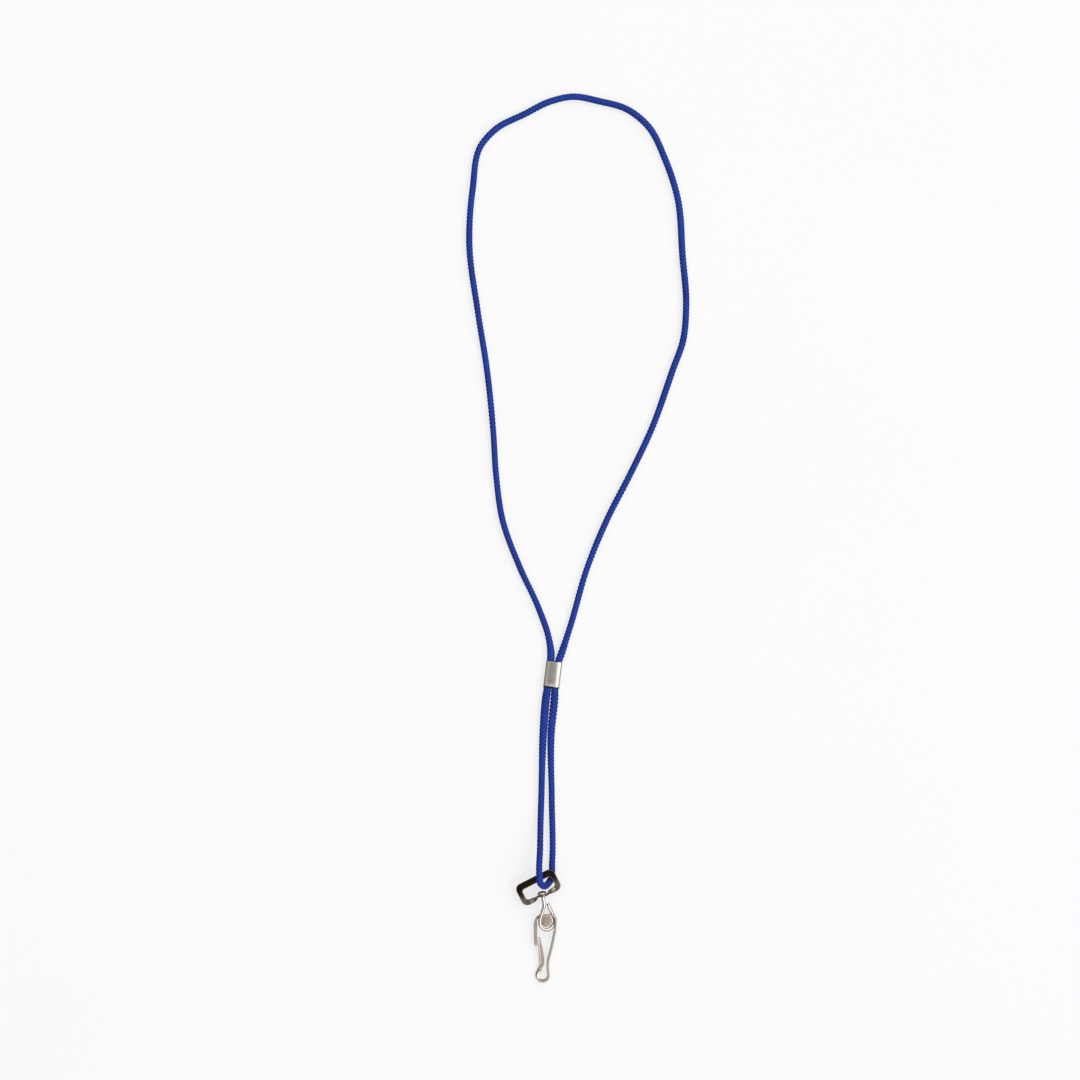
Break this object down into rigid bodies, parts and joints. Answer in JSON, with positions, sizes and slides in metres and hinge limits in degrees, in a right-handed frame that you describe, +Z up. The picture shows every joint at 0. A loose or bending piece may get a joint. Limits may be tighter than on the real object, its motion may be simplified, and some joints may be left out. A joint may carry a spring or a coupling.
{
  "type": "neck lanyard",
  "caption": "Braided cord neck lanyard with a crimped sleeve, a flat swivel ring, a headed wire eye and a bent strip J hook with a springy gate.",
  "frame": {"origin": "centre of the whole lanyard's footprint, on the surface that it lies on", "axes": "+Y from the hook towards the neck loop, +X to the right with the hook below, +Z up from the surface"},
  "size_m": [0.1158, 0.4617, 0.0107],
  "materials": {
    "braid": "braided polyester",
    "sleeve_nickel": "satin nickel",
    "ring_nickel": "bright nickel",
    "wire_nickel": "bright nickel",
    "hook_nickel": "satin nickel"
  },
  "bodies": {
    "cord_loop": {"cord": "braid", "crimp_sleeve": "sleeve_nickel"},
    "ring": {"swivel_ring": "ring_nickel"},
    "eye": {"swivel_eye": "wire_nickel"},
    "hook": {"hook_body": "hook_nickel"},
    "gate": {"hook_gate": "hook_nickel"}
  },
  "joints": [
    {"name": "ring_swing", "type": "hinge", "parent": "cord_loop", "child": "ring", "pos_m": [-0.0226, -0.1769, 0.0051], "axis": [-0.8918, -0.4524, 0], "range_deg": [0, 120]},
    {"name": "swivel_spin", "type": "hinge", "parent": "ring", "child": "eye", "pos_m": [-0.01848, -0.18503, 0.0043], "axis": [-0.172, 0.9816, 0.0834], "continuous": true},
    {"name": "hook_swing", "type": "hinge", "parent": "eye", "child": "hook", "pos_m": [-0.0161, -0.1984, 0.003], "axis": [0, -0.0576, 0.9983], "range_deg": [-12, 20]},
    {"name": "gate_flex", "type": "hinge", "parent": "hook", "child": "gate", "pos_m": [-0.0209, -0.22557, 0.00143], "axis": [0, 0.0576, -0.9983], "range_deg": [0, 10], "stiffness_Nm_per_rad": 0.3}
  ]
}
